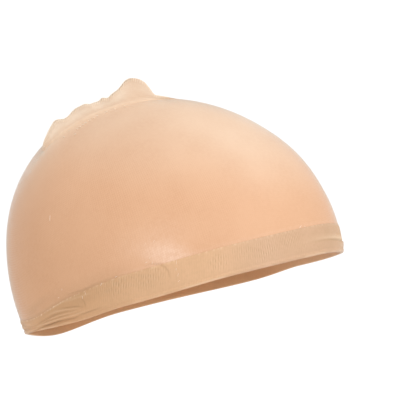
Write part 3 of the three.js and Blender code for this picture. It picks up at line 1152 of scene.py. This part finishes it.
stitch_length = 1.7
crown_lift = 0.1
band_overhang = 0.4
crown_stitches = table(
    "x y heading length radius",
    (-35, 32.2, 20, 1, 0.18),
    (-33.6, 31.6, 35, 0.9, 0.18),
    (-32.4, 30.4, 20, 1, 0.18),
    (-31.2, 29.9, 40, 1.2, 0.18),
    (-29.6, 28.4, 50, 0.9, 0.18),
    (-28, 27.2, 30, 0.7, 0.18),
    (-26.2, 26.4, 70, 0.6, 0.18),
    (-23.4, 22.2, 40, 0.7, 0.18),
    (-20.6, 19.4, 55, 0.6, 0.18),
    (-17.4, 15.4, 40, 0.7, 0.18),
    (-38.8, 30, 35, 0.7, 0.18),
    (-38.2, 38.4, 30, 0.8, 0.18),
    (-69.17, 19.9, 113, 1.8, 0.1),
    (-21, 41.8, 40, 0.8, 0.18),
    (-14.6, 33.2, 55, 0.8, 0.18),
)
band_stitches = table(
    "turn height heading length radius",
    (-64.7, 28, 80, 0.8, 0.055),
    (-61.8, 28, 60, 0.7, 0.055),
    (-63, 20.5, 85, 0.8, 0.055),
    (-64.2, 18.8, 30, 0.8, 0.06),
    (-62.2, 17.8, 70, 0.7, 0.06),
    (-54.5, 14.4, 85, 1.1, 0.055),
    (-54.6, 11.2, 80, 0.9, 0.055),
    (-54, 8.2, 75, 1, 0.06),
    (-53.7, 5, 30, 0.8, 0.055),
    (-86.2, 11.8, 80, 0.8, 0.08),
    (-85, 13.2, 60, 0.7, 0.08),
    (-94.8, 18.7, 80, 0.6, 0.07),
    (-96.8, 15, 30, 0.7, 0.07),
    (-79, 15, 60, 0.9, 0.1),
    (-74, 16.1, 20, 0.9, 0.08),
    (-19.7, 0.9, 10, 0.9, 0.08),
    (-7, 15.5, 25, 1.1, 0.09),
    (-5, 15.2, -30, 0.7, 0.08),
    (61, 16.2, 15, 0.7, 0.08),
    (88, 13, 80, 0.5, 0.08),
    (94, 16, 40, 0.6, 0.08),
    (140, 9.4, 10, 0.7, 0.08),
    (-147, 9.8, 60, 0.6, 0.08),
)


def stitch(chart, heading, length, radius, lift):
    """A short arched thread on the dome."""
    up = -unit(chart)
    round_head = np.array([-up[1], up[0]])
    way = math.cos(math.radians(heading)) * round_head + math.sin(math.radians(heading)) * up
    step = chart_point(chart + way * CHART_STEP) - chart_point(chart)
    per_radian = np.linalg.norm(step) / CHART_STEP
    along = np.linspace(-0.5, 0.5, 9)
    charts = chart + way * (along * stitch_length * length / per_radian)[:, None]
    arch = lift + radius * (1.6 - 2 * along**2)
    return tube(offset_point(charts, arch), radius, 6)


def stitches_mesh():
    threads = [
        stitch(chart_under((x, y)), heading, length, radius, crown_lift)
        for x, y, heading, length, radius in zip(*crown_stitches.values())
    ]
    for degrees, height, heading, length, radius in zip(*band_stitches.values()):
        turn = math.radians(degrees)
        chart = chart_above(np.array([turn]), np.array([[height]]))[0, 0]
        lift = leaf_out if height < band_width_at(turn) + band_overhang else 0
        threads.append(stitch(chart, heading, length, radius, lift))
    return join(threads)


points, faces = stitches_mesh()
mesh_piece("loose_stitches", points, faces, seam_thread)

# Stage

floor_level = -250
floor_reach = 12000


def flat_material(name, colour, roughness):
    material, tree, shader = new_material(name)
    cloud = noise(tree, object_place(tree), 0.6, 2)
    paler = tuple(min(1, c * 1.01) for c in colour)
    tree.links.new(mix_colour(tree, cloud, colour, paler), shader.inputs["Base Color"])
    shader.inputs["Roughness"].default_value = roughness
    shader.inputs["Specular IOR Level"].default_value = 0.1
    return material


reach = floor_reach * MM
floor_corners = [(-reach, -reach, 0), (reach, -reach, 0), (reach, reach, 0), (-reach, reach, 0)]
floor_mesh = bpy.data.meshes.new("floor")
floor_mesh.from_pydata(floor_corners, [], [(0, 1, 2, 3)])
floor_mesh.materials.append(flat_material("floor", (0.95, 0.95, 0.96), 0.9))
floor = bpy.data.objects.new("floor", floor_mesh)
floor.location.z = floor_level * MM
bpy.context.scene.collection.objects.link(floor)

# Camera, at the photograph's viewing angle

camera_azimuth = math.radians(-50)
camera_elevation = math.radians(10)
camera_distance = 1200
camera_lens = 208.4
sensor_width = 36
aim_right = 15.6
aim_up = 25.5
world_strength = 0.56


def towards(azimuth, elevation):
    flat = math.cos(elevation)
    return Vector((math.sin(azimuth) * flat, -math.cos(azimuth) * flat, math.sin(elevation)))


def facing(direction):
    """The rotation of a camera or light that looks back along a direction."""
    return direction.to_track_quat("Z", "Y").to_euler()


right = Vector((math.cos(camera_azimuth), math.sin(camera_azimuth), 0))
up = towards(camera_azimuth, camera_elevation).cross(right)
camera_data = bpy.data.cameras.new("camera")
camera_data.lens = camera_lens
camera_data.sensor_width = sensor_width
camera_data.clip_end = 100
camera = bpy.data.objects.new("camera", camera_data)
camera.location = towards(camera_azimuth, camera_elevation) * camera_distance * MM
target = (right * aim_right + up * aim_up) * MM
camera.rotation_euler = facing(camera.location - target)
bpy.context.scene.collection.objects.link(camera)
bpy.context.scene.camera = camera

# Soft studio light

world = bpy.data.worlds.new("studio")
world.use_nodes = True
background = world.node_tree.nodes["Background"]
background.inputs["Color"].default_value = (1, 1, 1, 1)
background.inputs["Strength"].default_value = world_strength
bpy.context.scene.world = world


def sun(name, azimuth, elevation, strength, spread_degrees, colour):
    data = bpy.data.lights.new(name, "SUN")
    data.energy = strength
    data.angle = math.radians(spread_degrees)
    data.color = colour
    light = bpy.data.objects.new(name, data)
    light.rotation_euler = facing(towards(math.radians(azimuth), math.radians(elevation)))
    bpy.context.scene.collection.objects.link(light)


sun("key", -6, 57, 1.71, 45, (1, 0.99, 0.98))
sun("front", -45, 15, 0.5, 60, (1, 0.98, 0.96))
sun("side", -125, 25, 0.2, 60, (1, 0.7, 0.46))
sun("back", 102, 24, 0.42, 55, (0.87, 0.97, 1))

bpy.context.scene.view_settings.view_transform = "Standard"
